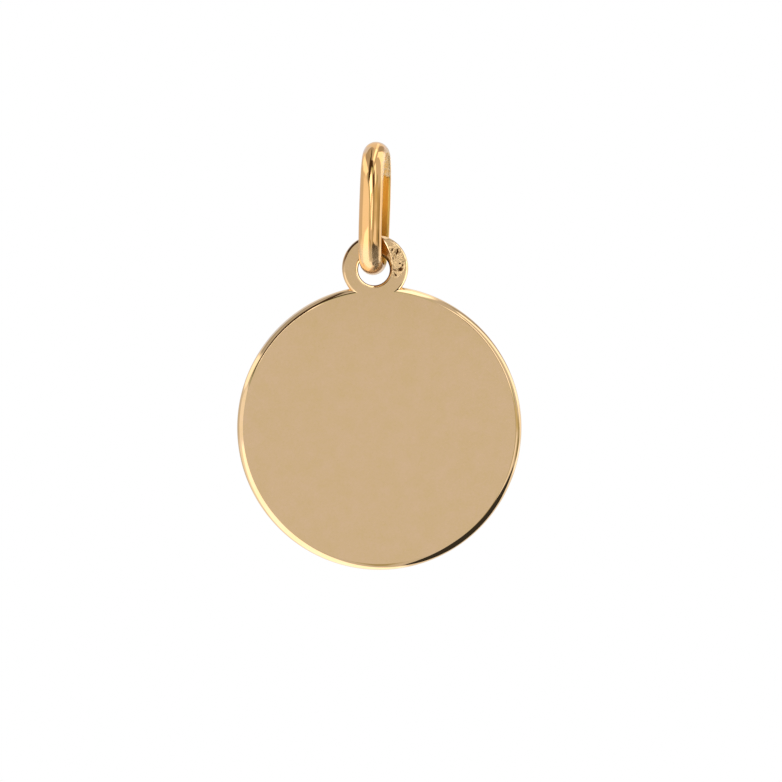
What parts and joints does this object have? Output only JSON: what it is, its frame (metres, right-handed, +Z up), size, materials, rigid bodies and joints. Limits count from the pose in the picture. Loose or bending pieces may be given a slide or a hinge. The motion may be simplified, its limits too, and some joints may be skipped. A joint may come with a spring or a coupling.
{
  "type": "round medal pendant on an oval bail",
  "caption": "Plain polished round medal with an ear, swinging freely on an oval bail of half-round wire that rides on a chain.",
  "frame": {"origin": "where the chain bears: the middle of the bail's inner face, at its top", "axes": "+Z up as the medal hangs, front face of the medal towards -Y, +X to the right seen from the front"},
  "size_m": [0.016, 0.0038, 0.0241],
  "materials": {
    "bail_gold": "polished yellow gold wire, with a small greyish solder spot low on its front",
    "medal_gold": "mirror-polished yellow gold with faint hairline scratches"
  },
  "bodies": {
    "bail": {"bail": "bail_gold"},
    "medal": {"medal": "medal_gold"}
  },
  "joints": [
    {"name": "medal_swing", "type": "hinge", "parent": "bail", "child": "medal", "pos_m": [-0.00032, 0, -0.00656], "axis": [0, 1, 0], "range_deg": [-105, 105]}
  ]
}
